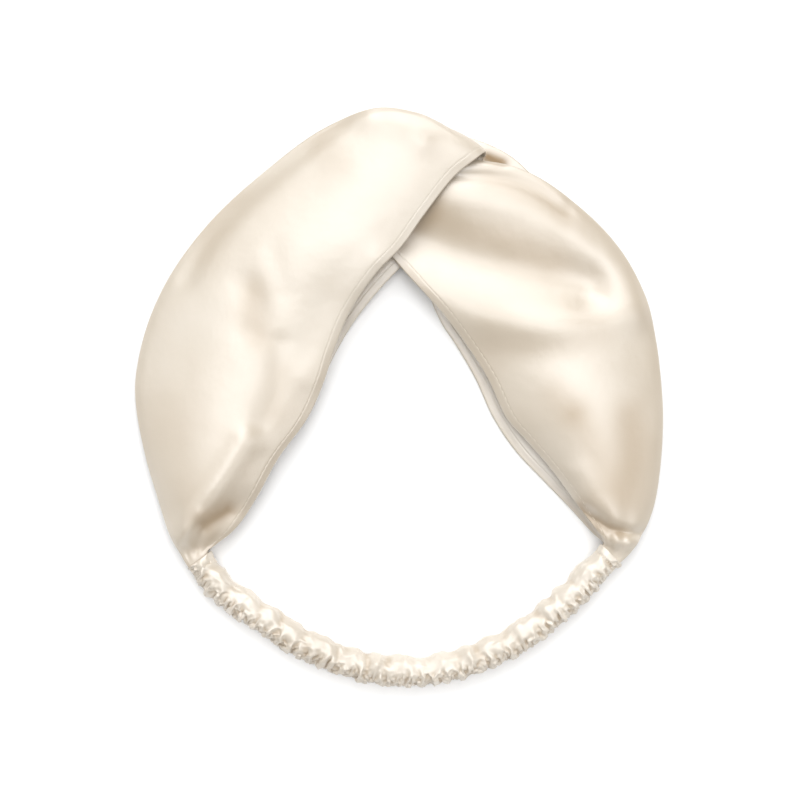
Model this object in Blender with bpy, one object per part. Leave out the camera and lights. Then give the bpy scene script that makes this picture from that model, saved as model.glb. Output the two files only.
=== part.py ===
"""Knotted satin headband, lying flat on a table with the knot away from the viewer.

Two flattened satin tubes are each folded in half and hooked through one another, which makes
the knot. The gathered ends of each tube are sewn into the mouths of a ruched casing, and a
narrow elastic inside the casing pulls the ring together.

Run it with: blender --background --python part.py
Metres, +Z up. X runs to the right-hand join, Y towards the knot, and the table is at Z = 0.
"""

import math

import bmesh
import bpy
import numpy as np
from mathutils import Matrix, Vector

MM = 0.001

# Cloth and thread
BAND_THICK = 1.2  # two plies of satin with the air between them, mm
THREAD_RADIUS = 0.25
THREAD_RING_POINTS = 48
GAP = 0.35  # between pieces that touch, mm
SEAM_INSET = 3.2  # the tube's seam, in from the band's inner edge, mm
ROWS_PER_SPAN = 2  # rows of a band's mesh to each of its stations
ACROSS = 9  # points across a band
SEAM_POINTS = 44
SEAM_END_STATIONS = 3  # the seam shows from this station to as far before the knot

# Elastic and casing, mm
CASING_HALF_WIDTH = 6.4
CASING_HALF_HEIGHT = 6.0
MOUTH_HALF_WIDTH = 5.6
MOUTH_HALF_HEIGHT = 5.0
CASING_WALL = 0.8
CASING_SIDES = 16
CASING_RINGS = 37
AXIS_STEPS = 12  # points between neighbours of CASING_AXIS
MOUTH_TAPER = 12.0  # length over which the casing narrows to its mouth
CENTRE_HEIGHT = 6.0  # the casing's axis above the table
STRAP_WIDTH = 6.4
STRAP_THICK = 1.0
STRAP_END = 1.5  # how far inside the mouths the strap stops
STRAP_FLAT = 6.0  # how far inside the mouths the strap lies flat between the band's ends
STRAP_TWIST = 22.0  # length over which the strap then turns upright
STRAP_RINGS = 61
SHARP_DEGREES = 40
JOIN_FROM_MOUTH = 3.0  # the join stitching, in from the casing's mouth
GATHER_FROM_MOUTH = 4.5  # the thread round the gathered ends, in from the casing's mouth
CASING_SEAM_POINTS = 49
SEAM_FROM_MOUTH = 7.0  # the casing's own seam, in from its mouths
FINE_POINTS = 481  # along the casing, to find a place near a mouth
GATHER_HALF_WIDTH = 4.4
GATHER_HALF_HEIGHT = 3.9
ZIGZAG = 0.7  # how far the join stitching swings to each side of its line
ZIGZAGS = 6

# The bands turn round one another here as the ring opens (x, y, z), mm
KNOT = (10.0, 78.0, 6.5)

# The casing's axis, from the left mouth to the right mouth (x, y), mm
CASING_AXIS = [
    (-72.4, -57.6),
    (-66.6, -65.2),
    (-58.3, -72.4),
    (-48.0, -79.4),
    (-36.0, -87.0),
    (-19.0, -94.2),
    (0.0, -97.6),
    (19.5, -95.4),
    (40.0, -87.0),
    (52.0, -78.8),
    (61.5, -70.4),
    (69.0, -62.4),
    (76.0, -55.4),
]

# Each band from the front strand's sewn end, over the fold in the knot, to the back strand's
# sewn end. A station is a line across the band:
# (outer edge x, y, z), (inner edge x, y, z), how far its middle bows up. All in mm.
LEFT_BAND = [
    ((-70.3, -64.8, 7.6), (-65.9, -61.3, 7.6), 0.0),
    ((-74.7, -59.4, 7.6), (-70.1, -55.9, 7.6), 0.0),
    ((-79.4, -54.2, 7.9), (-66.6, -52.2, 8.6), 1.2),
    ((-83.6, -46.0, 7.2), (-58.6, -45.6, 9.6), 4.2),
    ((-87.6, -34.0, 6.2), (-51.0, -34.4, 9.4), 6.4),
    ((-91.8, -20.0, 5.6), (-43.4, -20.6, 9.0), 7.4),
    ((-95.2, -2.0, 5.2), (-33.6, -7.2, 8.6), 8.0),
    ((-94.8, 12.0, 5.2), (-27.6, 5.6, 8.4), 8.2),
    ((-90.0, 30.0, 5.4), (-23.4, 18.4, 8.8), 8.2),
    ((-80.8, 48.0, 6.2), (-17.6, 32.0, 10.2), 7.6),
    ((-66.6, 65.8, 7.6), (-8.6, 45.0, 12.6), 6.4),
    ((-48.6, 81.8, 9.4), (0.6, 54.6, 13.6), 5.0),
    ((-28.8, 96.2, 11.6), (9.0, 66.4, 13.8), 3.8),
    ((-9.6, 103.8, 13.2), (19.0, 79.2, 13.6), 2.4),
    ((5.6, 102.4, 13.2), (27.2, 86.0, 13.4), 1.2),
    ((14.8, 98.2, 11.6), (32.2, 88.9, 11.6), 0.4),
    ((16.2, 97.6, 9.0), (33.0, 88.6, 9.0), 0.0),
    ((14.4, 95.8, 6.2), (31.6, 86.8, 6.2), 0.0),
    ((7.0, 89.6, 5.0), (27.0, 77.2, 5.0), 0.0),
    ((-12.0, 81.0, 4.8), (16.0, 61.6, 4.8), 0.0),
    ((-32.0, 69.0, 3.8), (-1.2, 46.4, 4.8), 0.0),
    ((-50.0, 54.0, 2.4), (-13.6, 32.4, 3.4), 0.0),
    ((-64.0, 37.0, 1.1), (-22.0, 19.6, 1.3), 0.0),
    ((-74.0, 16.0, 0.6), (-31.6, 0.6, 0.6), 0.0),
    ((-79.6, -6.0, 0.6), (-43.6, -18.0, 0.6), 0.0),
    ((-81.0, -28.0, 0.6), (-54.4, -34.0, 0.6), 0.0),
    ((-80.0, -45.0, 1.2), (-62.4, -46.0, 1.2), 0.0),
    ((-77.4, -54.6, 3.0), (-67.6, -52.8, 3.0), 0.0),
    ((-74.7, -59.4, 4.4), (-70.1, -55.9, 4.4), 0.0),
    ((-70.3, -64.8, 4.4), (-65.9, -61.3, 4.4), 0.0),
]

RIGHT_BAND = [
    ((73.0, -62.3, 7.6), (68.9, -58.1, 7.6), 0.0),
    ((78.1, -57.4, 7.6), (73.9, -53.4, 7.6), 0.0),
    ((83.4, -54.0, 7.8), (72.8, -49.8, 8.6), 1.2),
    ((88.2, -46.4, 7.2), (68.6, -44.2, 9.2), 3.4),
    ((91.8, -36.6, 6.4), (62.8, -36.4, 8.8), 5.6),
    ((94.0, -22.0, 5.8), (53.6, -24.0, 8.2), 7.0),
    ((94.8, -7.2, 5.4), (45.4, -14.6, 7.8), 7.8),
    ((94.2, 6.0, 5.2), (38.0, -6.0, 7.6), 8.0),
    ((92.4, 21.0, 5.2), (31.6, 7.6, 7.6), 8.0),
    ((88.8, 35.8, 5.4), (23.6, 20.2, 7.8), 7.4),
    ((81.8, 50.2, 6.0), (14.8, 31.6, 8.2), 6.2),
    ((72.6, 61.8, 6.8), (6.6, 40.6, 8.8), 4.4),
    ((60.8, 72.2, 7.8), (-0.6, 48.6, 9.2), 2.4),
    ((49.6, 79.8, 8.6), (-8.4, 58.0, 9.2), 0.8),
    ((38.2, 84.4, 9.0), (-14.0, 68.0, 9.2), 0.0),
    ((26.0, 86.6, 9.2), (-16.0, 77.0, 9.2), 0.0),
    ((12.0, 93.4, 9.0), (-13.6, 84.4, 9.0), 0.0),
    ((5.6, 98.4, 7.6), (-12.8, 88.6, 7.6), 0.0),
    ((4.4, 99.2, 4.8), (-13.4, 89.4, 4.8), 0.0),
    ((5.8, 98.0, 2.0), (-12.0, 87.6, 2.0), 0.0),
    ((14.0, 96.8, 0.6), (-7.6, 80.0, 0.6), 0.0),
    ((27.0, 94.6, 0.6), (0.4, 66.0, 0.6), 0.0),
    ((40.0, 88.6, 0.6), (7.0, 50.0, 0.6), 0.0),
    ((51.0, 78.6, 0.6), (11.0, 37.0, 0.6), 0.0),
    ((64.0, 67.0, 0.6), (15.2, 27.6, 0.6), 0.0),
    ((76.4, 54.0, 0.6), (20.6, 19.4, 0.6), 0.0),
    ((85.6, 38.0, 0.6), (27.4, 7.6, 0.6), 0.0),
    ((90.0, 19.0, 0.6), (33.8, -6.4, 0.6), 0.0),
    ((91.6, 0.0, 0.6), (42.0, -18.6, 0.6), 0.0),
    ((90.6, -18.0, 0.6), (52.4, -29.6, 0.6), 0.0),
    ((88.2, -34.0, 0.6), (61.6, -39.2, 0.6), 0.0),
    ((84.6, -47.0, 1.2), (69.6, -48.0, 1.2), 0.0),
    ((80.6, -54.6, 3.0), (73.0, -50.8, 3.0), 0.0),
    ((78.1, -57.4, 4.4), (73.9, -53.4, 4.4), 0.0),
    ((73.0, -62.3, 4.4), (68.9, -58.1, 4.4), 0.0),
]

SATIN = (0.86, 0.79, 0.68, 1.0)
ELASTIC_WHITE = (0.82, 0.80, 0.76, 1.0)


def clear_scene():
    for obj in list(bpy.data.objects):
        bpy.data.objects.remove(obj)


def material(name, colour, roughness):
    made = bpy.data.materials.new(name)
    made.use_nodes = True
    shader = made.node_tree.nodes["Principled BSDF"]
    shader.inputs["Base Color"].default_value = colour
    shader.inputs["Roughness"].default_value = roughness
    shader.inputs["Metallic"].default_value = 0.0
    return made


def smooth_rows(rows, per_span):
    """Catmull-Rom through rows of numbers, with per_span steps between neighbours."""
    rows = np.array(rows, float)
    padded = np.vstack([2 * rows[0] - rows[1], rows, 2 * rows[-1] - rows[-2]])
    steps = np.arange(per_span) / per_span
    out = []
    for a, b, c, d in zip(padded, padded[1:], padded[2:], padded[3:]):
        for t in steps:
            out.append(
                0.5 * (2 * b + (c - a) * t + (2 * a - 5 * b + 4 * c - d) * t**2
                       + (3 * b - a - 3 * c + d) * t**3)
            )
    out.append(rows[-1])
    return np.array(out)


def spaced(line, count):
    """The line again with count points at even distances along it."""
    lengths = np.linalg.norm(np.diff(line, axis=0), axis=1)
    along = np.concatenate([[0.0], np.cumsum(lengths)])
    at = np.linspace(0.0, along[-1], count)
    return np.stack([np.interp(at, along, line[:, k]) for k in range(line.shape[1])], axis=1)


def object_from(name, bm, finish):
    bmesh.ops.recalc_face_normals(bm, faces=bm.faces)
    mesh = bpy.data.meshes.new(name)
    bm.to_mesh(mesh)
    bm.free()
    mesh.shade_smooth()
    mesh.materials.append(finish)
    obj = bpy.data.objects.new(name, mesh)
    bpy.context.scene.collection.objects.link(obj)
    return obj


def band_rows(stations):
    """The band's mid-surface in mm: one row of points across it for each step along it."""
    flat = [(*outer, *inner, bow) for outer, inner, bow in stations]
    rows = []
    for values in smooth_rows(flat, ROWS_PER_SPAN):
        outer, inner, bow = values[:3], values[3:6], values[6]
        row = []
        for v in np.linspace(0.0, 1.0, ACROSS):
            point = outer * (1 - v) + inner * v
            point[2] = max(point[2] + bow * 4 * v * (1 - v), BAND_THICK / 2)
            row.append(point)
        rows.append(row)
    return np.array(rows)


def band(name, stations, finish):
    """A flattened tube of satin as one sheet, thickened about its middle."""
    bm = bmesh.new()
    grid = [[bm.verts.new(Vector(point) * MM) for point in row] for row in band_rows(stations)]
    for row, following in zip(grid, grid[1:]):
        for k in range(ACROSS - 1):
            bm.faces.new((row[k], row[k + 1], following[k + 1], following[k]))
    obj = object_from(name, bm, finish)
    solidify = obj.modifiers.new("thickness", "SOLIDIFY")
    solidify.thickness = BAND_THICK * MM
    solidify.offset = 0.0
    solidify.use_even_offset = True
    return obj


def thread(name, points, finish, cyclic=False):
    """A line of sewing thread through points in mm."""
    curve = bpy.data.curves.new(name, "CURVE")
    curve.dimensions = "3D"
    curve.bevel_depth = THREAD_RADIUS * MM
    curve.bevel_resolution = 1
    curve.use_fill_caps = not cyclic
    spline = curve.splines.new("POLY")
    spline.points.add(len(points) - 1)
    for target, point in zip(spline.points, points):
        target.co = (*(Vector(point) * MM), 1.0)
    spline.use_cyclic_u = cyclic
    curve.materials.append(finish)
    obj = bpy.data.objects.new(name, curve)
    bpy.context.scene.collection.objects.link(obj)
    return obj


def seam_on_band(name, stations, finish):
    """The thread of the tube's long seam, just clear of the front strand near its inner edge."""
    rows = band_rows(stations)
    hidden = SEAM_END_STATIONS * ROWS_PER_SPAN
    front = rows[hidden : len(rows) // 2 - hidden]
    line = []
    for row in front:
        across = row[-1] - row[0]
        share = 1 - SEAM_INSET / np.linalg.norm(across)
        position = share * (ACROSS - 1)
        k = int(position)
        line.append(row[k] + (row[k + 1] - row[k]) * (position - k))
    line = np.array(line)
    line[:, 2] += BAND_THICK / 2 + GAP + THREAD_RADIUS
    return thread(name, spaced(line, SEAM_POINTS), finish)


def casing_frames(count):
    """(centre, direction outwards from the ring, distance to the nearer mouth) along the casing."""
    fine = smooth_rows([(x, y, CENTRE_HEIGHT) for x, y in CASING_AXIS], AXIS_STEPS)
    line = spaced(fine, count)
    along = np.gradient(line, axis=0)
    along /= np.linalg.norm(along, axis=1)[:, None]
    outward = np.stack([along[:, 1], -along[:, 0], np.zeros(count)], axis=1)
    length = np.linalg.norm(np.diff(line, axis=0), axis=1).sum()
    distance = np.linspace(0.0, length, count)
    return line, along, outward, np.minimum(distance, length - distance)


def eased(distance, over):
    """0 at a mouth, 1 from `over` millimetres inside it."""
    t = min(1.0, distance / over)
    return t * t * (3 - 2 * t)


def casing_half_sizes(from_mouth):
    open_share = eased(from_mouth, MOUTH_TAPER)
    width = MOUTH_HALF_WIDTH + (CASING_HALF_WIDTH - MOUTH_HALF_WIDTH) * open_share
    height = MOUTH_HALF_HEIGHT + (CASING_HALF_HEIGHT - MOUTH_HALF_HEIGHT) * open_share
    return width, height


def ring_points(centre, outward, half_width, half_height, sides):
    up = np.array([0.0, 0.0, 1.0])
    return [
        centre + outward * half_width * math.cos(a) + up * half_height * math.sin(a)
        for a in np.arange(sides) * 2 * math.pi / sides
    ]


def casing(name, finish):
    """The casing as an open tube with a wall, so that the strap and the bands' ends fit inside."""
    bm = bmesh.new()
    loops = []
    line, _, outward, from_mouth = casing_frames(CASING_RINGS)
    for centre, out, near in zip(line, outward, from_mouth):
        width, height = casing_half_sizes(near)
        for inset in (0.0, CASING_WALL):
            points = ring_points(centre, out, width - inset, height - inset, CASING_SIDES)
            loops.append([bm.verts.new(Vector(p) * MM) for p in points])
    outer, inner = loops[0::2], loops[1::2]

    def bridge(first, second):
        for k in range(CASING_SIDES):
            j = (k + 1) % CASING_SIDES
            bm.faces.new((first[k], first[j], second[j], second[k]))

    for first, second in zip(outer, outer[1:]):
        bridge(first, second)
    for first, second in zip(inner, inner[1:]):
        bridge(second, first)
    bridge(inner[0], outer[0])
    bridge(outer[-1], inner[-1])
    return object_from(name, bm, finish)


def strap(name, finish):
    """Flat elastic on edge inside the casing, turned flat at each end between the band's ends."""
    bm = bmesh.new()
    line, _, outward, from_mouth = casing_frames(STRAP_RINGS)
    inside = [i for i, near in enumerate(from_mouth) if near >= STRAP_END]
    loops = []
    for i in inside:
        upright = eased(max(0.0, from_mouth[i] - STRAP_FLAT), STRAP_TWIST)
        angle = upright * math.pi / 2
        across = outward[i] * math.cos(angle) + np.array([0.0, 0.0, math.sin(angle)])
        through = -outward[i] * math.sin(angle) + np.array([0.0, 0.0, math.cos(angle)])
        corners = [(-1, -1), (1, -1), (1, 1), (-1, 1)]
        loops.append([
            bm.verts.new(Vector(line[i] + across * a * STRAP_WIDTH / 2
                                + through * b * STRAP_THICK / 2) * MM)
            for a, b in corners
        ])
    for first, second in zip(loops, loops[1:]):
        for k in range(4):
            j = (k + 1) % 4
            bm.faces.new((first[k], first[j], second[j], second[k]))
    bm.faces.new(loops[0][::-1])
    bm.faces.new(loops[-1])
    obj = object_from(name, bm, finish)
    obj.data.set_sharp_from_angle(angle=math.radians(SHARP_DEGREES))
    return obj


def casing_seam(name, finish):
    """The casing's long seam, inside it on the side away from the ring's middle."""
    line, _, outward, from_mouth = casing_frames(CASING_SEAM_POINTS)
    points = []
    for centre, out, near in zip(line, outward, from_mouth):
        if near < SEAM_FROM_MOUTH:
            continue
        width, _ = casing_half_sizes(near)
        points.append(centre + out * (width - CASING_WALL - GAP - THREAD_RADIUS))
    return thread(name, points, finish)


def near_mouth(inside, from_left):
    """(centre, along, outward) of the casing at a distance inside one of its mouths."""
    line, along, outward, from_mouth = casing_frames(FINE_POINTS)
    step = int(np.argmin(np.abs(from_mouth[: FINE_POINTS // 2] - inside)))
    i = step if from_left else len(line) - 1 - step
    return line[i], along[i], outward[i]


def join_stitching(name, from_left, finish):
    """Thread wound round the casing's mouth, which holds the band's ends and the strap in it."""
    centre, along, outward = near_mouth(JOIN_FROM_MOUTH, from_left)
    width, height = casing_half_sizes(JOIN_FROM_MOUTH)
    clear = GAP + THREAD_RADIUS
    points = ring_points(centre, outward, width + clear, height + clear, THREAD_RING_POINTS)
    turn = math.tau / THREAD_RING_POINTS
    slanted = [p + along * ZIGZAG * math.sin(ZIGZAGS * turn * k) for k, p in enumerate(points)]
    return thread(name, slanted, finish, cyclic=True)


def gather_stitching(name, from_left, finish):
    """Thread wound round the band's gathered ends and the strap's end, inside the mouth."""
    centre, _, outward = near_mouth(GATHER_FROM_MOUTH, from_left)
    points = ring_points(
        centre, outward, GATHER_HALF_WIDTH, GATHER_HALF_HEIGHT, THREAD_RING_POINTS
    )
    return thread(name, points, finish, cyclic=True)


def hang_from_knot(objects):
    """Gives the side that swings a parent on the vertical axis through the knot."""
    axis = bpy.data.objects.new("knot_axis", None)
    axis.location = Vector(KNOT) * MM
    bpy.context.scene.collection.objects.link(axis)
    for obj in objects:
        obj.parent = axis
        obj.matrix_parent_inverse = Matrix.Translation(-axis.location)


def build():
    clear_scene()
    satin = material("satin", SATIN, 0.32)
    sewing = material("sewing_thread", SATIN, 0.55)
    elastic = material("elastic", ELASTIC_WHITE, 0.8)
    band("left_band", LEFT_BAND, satin)
    seam_on_band("left_band_seam_thread", LEFT_BAND, sewing)
    join_stitching("left_join_thread", True, sewing)
    gather_stitching("left_gather_thread", True, sewing)
    casing("elastic_casing", satin)
    casing_seam("casing_seam_thread", sewing)
    strap("elastic_strap", elastic)
    right_side = [
        band("right_band", RIGHT_BAND, satin),
        seam_on_band("right_band_seam_thread", RIGHT_BAND, sewing),
        join_stitching("right_join_thread", False, sewing),
        gather_stitching("right_gather_thread", False, sewing),
    ]
    hang_from_knot(right_side)


build()
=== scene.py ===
"""Looks for the knotted satin headband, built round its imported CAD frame.

Metres, +Z up, in the CAD's own frame. Lengths in the tables and helpers are millimetres.
"""

import math

import bmesh
import bpy
import numpy as np
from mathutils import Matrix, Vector


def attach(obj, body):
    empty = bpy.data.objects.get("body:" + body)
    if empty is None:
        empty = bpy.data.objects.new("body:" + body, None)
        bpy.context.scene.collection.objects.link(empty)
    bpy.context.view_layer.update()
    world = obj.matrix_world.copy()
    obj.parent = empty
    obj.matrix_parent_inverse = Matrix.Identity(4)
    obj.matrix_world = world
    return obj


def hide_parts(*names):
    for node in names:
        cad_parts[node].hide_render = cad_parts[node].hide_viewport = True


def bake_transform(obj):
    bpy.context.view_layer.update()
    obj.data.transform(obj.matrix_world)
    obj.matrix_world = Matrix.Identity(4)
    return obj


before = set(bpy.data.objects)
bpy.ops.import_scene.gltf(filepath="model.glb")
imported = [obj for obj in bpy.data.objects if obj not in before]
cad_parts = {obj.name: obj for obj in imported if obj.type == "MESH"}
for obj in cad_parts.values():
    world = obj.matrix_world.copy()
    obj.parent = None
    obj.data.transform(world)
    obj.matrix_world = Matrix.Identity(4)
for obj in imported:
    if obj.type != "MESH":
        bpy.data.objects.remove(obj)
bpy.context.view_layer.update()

MM = 0.001
SEED = 11
rng = np.random.default_rng(SEED)
SPAN_STEPS = 12  # rows between neighbouring stations
FLOOR_GAP = 0.08
UP = np.array([0, 0, 1.0])

# ---------------------------------------------------------------- the bands' stations
# (outer edge, inner edge, how far the middle bows up), from the front strand's sewn end, round
# the knot, to the back strand's. They follow the CAD's, but fill the casing's mouths.

LEFT_BAND = [
    ((-71.2, -65.5, 7.6), (-65.0, -60.6, 7.6), 0.0),
    ((-75.8, -60.4, 7.6), (-69.0, -54.9, 7.6), 0.3),
    ((-79.4, -54.2, 7.9), (-66.6, -52.2, 8.6), 1.2),
    ((-83.6, -46.0, 7.2), (-58.6, -45.6, 9.6), 4.2),
    ((-87.6, -34.0, 6.2), (-51.0, -34.4, 9.4), 6.4),
    ((-91.8, -20.0, 5.6), (-43.4, -20.6, 9.0), 7.4),
    ((-95.2, -2.0, 5.2), (-33.6, -7.2, 8.6), 8.0),
    ((-94.8, 12.0, 5.2), (-27.6, 5.6, 8.4), 8.2),
    ((-90.0, 30.0, 5.4), (-23.4, 18.4, 8.8), 8.2),
    ((-80.8, 48.0, 6.2), (-17.6, 32.0, 10.2), 7.6),
    ((-66.6, 65.8, 7.6), (-8.6, 45.0, 12.6), 6.4),
    ((-48.6, 81.8, 9.4), (0.6, 54.6, 13.6), 5.0),
    ((-28.8, 96.2, 11.6), (9.0, 66.4, 13.8), 3.8),
    ((-9.6, 103.8, 13.2), (19.0, 79.2, 13.6), 2.4),
    ((5.6, 102.4, 13.2), (27.2, 86.0, 13.4), 1.2),
    ((14.4, 98.4, 11.6), (30.6, 88.8, 11.6), 0.4),
    ((15.6, 97.8, 9.0), (31.2, 88.4, 9.0), 0.0),
    ((14.0, 95.8, 6.2), (30.0, 86.6, 6.2), 0.0),
    ((7.0, 89.6, 5.0), (27.0, 77.2, 5.0), 0.0),
    ((-12.0, 81.0, 4.8), (16.0, 61.6, 4.8), 0.0),
    ((-32.0, 69.0, 3.8), (-1.2, 46.4, 4.8), 0.0),
    ((-50.0, 54.0, 2.4), (-13.6, 32.4, 3.4), 0.0),
    ((-64.0, 37.0, 1.1), (-22.0, 19.6, 1.3), 0.0),
    ((-74.0, 16.0, 0.6), (-31.6, 0.6, 0.6), 0.0),
    ((-79.6, -6.0, 0.6), (-43.6, -18.0, 0.6), 0.0),
    ((-81.0, -28.0, 0.6), (-54.4, -34.0, 0.6), 0.0),
    ((-80.0, -45.0, 1.2), (-62.4, -46.0, 1.2), 0.0),
    ((-77.4, -54.6, 3.0), (-67.6, -52.8, 3.0), 0.0),
    ((-75.8, -60.4, 4.4), (-69.0, -54.9, 4.4), 0.0),
    ((-71.2, -65.5, 4.4), (-65.0, -60.6, 4.4), 0.0),
]

RIGHT_BAND = [
    ((73.8, -63.1, 7.6), (68.1, -57.3, 7.6), 0.0),
    ((79.2, -58.4, 7.6), (72.8, -52.4, 7.6), 0.3),
    ((83.4, -54.0, 7.8), (72.8, -49.8, 8.6), 1.2),
    ((88.2, -46.4, 7.2), (68.6, -44.2, 9.2), 3.4),
    ((91.8, -36.6, 6.4), (62.8, -36.4, 8.8), 5.6),
    ((94.0, -22.0, 5.8), (53.6, -24.0, 8.2), 7.0),
    ((94.8, -7.2, 5.4), (45.4, -14.6, 7.8), 7.8),
    ((94.2, 6.0, 5.2), (38.0, -6.0, 7.6), 8.0),
    ((92.4, 21.0, 5.2), (31.6, 7.6, 7.6), 8.0),
    ((88.8, 35.8, 5.4), (23.6, 20.2, 7.8), 7.4),
    ((81.8, 50.2, 6.0), (14.8, 31.6, 8.2), 6.2),
    ((72.6, 61.8, 6.8), (6.6, 40.6, 8.8), 4.4),
    ((60.8, 72.2, 7.8), (-0.6, 48.6, 9.2), 2.4),
    ((49.6, 79.8, 8.6), (-8.4, 58.0, 9.2), 0.8),
    ((38.2, 84.4, 9.0), (-14.0, 68.0, 9.2), 0.0),
    ((26.0, 86.6, 9.2), (-16.0, 77.0, 9.2), 0.0),
    ((12.0, 93.4, 9.0), (-13.6, 84.4, 9.0), 0.0),
    ((5.6, 98.4, 7.6), (-12.8, 88.6, 7.6), 0.0),
    ((4.4, 99.2, 4.8), (-13.4, 89.4, 4.8), 0.0),
    ((5.8, 98.0, 2.0), (-12.0, 87.6, 2.0), 0.0),
    ((14.0, 96.8, 0.6), (-7.6, 80.0, 0.6), 0.0),
    ((27.0, 94.6, 0.6), (0.4, 66.0, 0.6), 0.0),
    ((40.0, 88.6, 0.6), (7.0, 50.0, 0.6), 0.0),
    ((51.0, 78.6, 0.6), (11.0, 37.0, 0.6), 0.0),
    ((64.0, 67.0, 0.6), (15.2, 27.6, 0.6), 0.0),
    ((76.4, 54.0, 0.6), (20.6, 19.4, 0.6), 0.0),
    ((85.6, 38.0, 0.6), (27.4, 7.6, 0.6), 0.0),
    ((90.0, 19.0, 0.6), (33.8, -6.4, 0.6), 0.0),
    ((91.6, 0.0, 0.6), (42.0, -18.6, 0.6), 0.0),
    ((90.6, -18.0, 0.6), (52.4, -29.6, 0.6), 0.0),
    ((88.2, -34.0, 0.6), (61.6, -39.2, 0.6), 0.0),
    ((84.6, -47.0, 1.2), (69.6, -48.0, 1.2), 0.0),
    ((80.6, -54.6, 3.0), (73.0, -50.8, 3.0), 0.0),
    ((79.2, -58.4, 4.4), (72.8, -52.4, 4.4), 0.0),
    ((73.8, -63.1, 4.4), (68.1, -57.3, 4.4), 0.0),
]

# the casing's axis, from the left mouth to the right mouth (x, y)
CASING_AXIS = [
    (-72.4, -57.6),
    (-66.6, -65.2),
    (-58.3, -72.4),
    (-48.0, -79.4),
    (-36.0, -87.0),
    (-19.0, -94.2),
    (0.0, -97.6),
    (19.5, -95.4),
    (40.0, -87.0),
    (52.0, -78.8),
    (61.5, -70.4),
    (69.0, -62.4),
    (76.0, -55.4),
]
CENTRE_HEIGHT = 6.0

# ---------------------------------------------------------------- soft folds in the front strands
# (line that the fold follows, half-width, height); a valley's height is negative

LEFT_FOLDS = [
    ([(-22, 99), (-40, 85), (-57, 71), (-69, 57), (-76, 44)], 4.5, -1.1),
    ([(-10, 100), (2, 97), (8, 92)], 5.0, 0.9),
    ([(-54, 40), (-51, 32), (-52, 25)], 6.0, -1.0),
    ([(-45, 53), (-41, 38)], 3.8, -0.35),
    ([(-43, 20), (-44, 4), (-49, -8)], 4.0, -0.7),
    ([(-31, 8), (-24, 22), (-17, 36), (-8, 48)], 6.0, 1.3),
    ([(-79, -48), (-72, -38), (-64, -28), (-55, -15)], 5.0, 2.0),
    ([(-71, -55), (-64, -48), (-56, -39)], 7.0, -2.6),
    ([(-70, -45), (-62, -39.5)], 3.2, -1.7),
    ([(-79, -52), (-76, -47), (-71, -41)], 2.2, 0.9),
]

RIGHT_FOLDS = [
    ([(22, 83), (33, 83.4), (41, 82.6), (48, 80), (58, 73)], 2.0, 0.6),
    ([(20, 80), (34, 79), (47, 75), (60, 67)], 2.2, -0.6),
    ([(30, 88), (37, 86)], 2.2, -2.0),
    ([(19, 74), (43, 70), (63, 60), (77, 47), (84, 36)], 8.5, 2.3),
    ([(5, 58), (25, 50), (50, 44), (66, 41)], 9.5, -3.3),
    ([(7, 40), (25, 30), (50, 27), (83, 30)], 6.5, 1.3),
    ([(30, 18), (60, 14), (84, 16)], 7.0, -0.5),
    ([(63, -26), (68, -34), (74, -42)], 5.0, 0.9),
    ([(67, -40), (74, -45), (81, -47.5), (86, -48)], 2.2, -2.2),
    ([(66, -39), (71, -43)], 2.8, -1.7),
    ([(83, -10), (83, -26), (84, -40)], 7.0, -0.7),
    ([(77, -50.5), (84, -50.5)], 2.4, 1.3),
]

# ---------------------------------------------------------------- painted shade
# Painted shade on the front strands: along each line the satin's colour is painted darker and
# warmer and its gloss damped (line, half-width, amount).

LEFT_PAINTED_SHADE = [
    ([(-62, 74), (-66, 66), (-70, 52)], 6.0, 0.35),
    ([(-30, 94), (-22, 84)], 7.0, 0.3),
    ([(-52, 38), (-53, 30), (-50, 22)], 6.0, 0.7),
    ([(-42, 10), (-45, -4)], 4.5, 0.35),
    ([(-84, -2), (-80, -18), (-76, -34)], 9.0, 0.35),
    ([(-70, -43.5), (-62, -39)], 3.8, 1.3),
    ([(-73, -54), (-68, -49)], 4.0, 0.5),
    ([(-5, 101), (2, 97)], 3.0, 0.3),
]

RIGHT_PAINTED_SHADE = [
    ([(5, 66), (14, 65), (28, 59), (42, 54), (53, 49)], 8.0, 0.7),
    ([(9, 74), (13, 68), (3, 57)], 3.2, 0.4),
    ([(32, 79), (44, 75), (58, 66)], 5.5, 0.55),
    ([(8, 42), (30, 37), (58, 34)], 6.5, 0.2),
    ([(20, 60), (60, 30), (80, -20)], 40.0, 0.24),
    ([(28, 24), (50, 20), (72, 22)], 6.0, 0.25),
    ([(55, 2), (60, -4)], 6.0, 0.5),
    ([(82, -6), (83, -20), (81, -36)], 7.0, 0.75),
    ([(64, -6), (68, -14), (71, -22), (73, -31)], 6.5, 0.65),
    ([(65, -38.5), (68, -42), (73, -45), (78, -47)], 3.4, 1.1),
    ([(31, 88), (36, 86)], 2.4, 0.6),
]

# painted shade on the back strand, for the dark hollow seen beside the knot
RIGHT_BACK_PAINTED_SHADE = [([(31.5, 88.0), (36.8, 86.0)], 2.3, 2.2)]


def catmull(rows, per_span):
    """A smooth line through rows of numbers, with per_span steps between neighbours."""
    rows = np.array(rows, float)
    padded = np.vstack([2 * rows[0] - rows[1], rows, 2 * rows[-1] - rows[-2]])
    steps = np.arange(per_span) / per_span
    out = []
    for a, b, c, d in zip(padded, padded[1:], padded[2:], padded[3:]):
        for t in steps:
            out.append(
                0.5 * (2 * b + (c - a) * t + (2 * a - 5 * b + 4 * c - d) * t**2
                       + (3 * b - a - 3 * c + d) * t**3)
            )
    out.append(rows[-1])
    return np.array(out)


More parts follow.
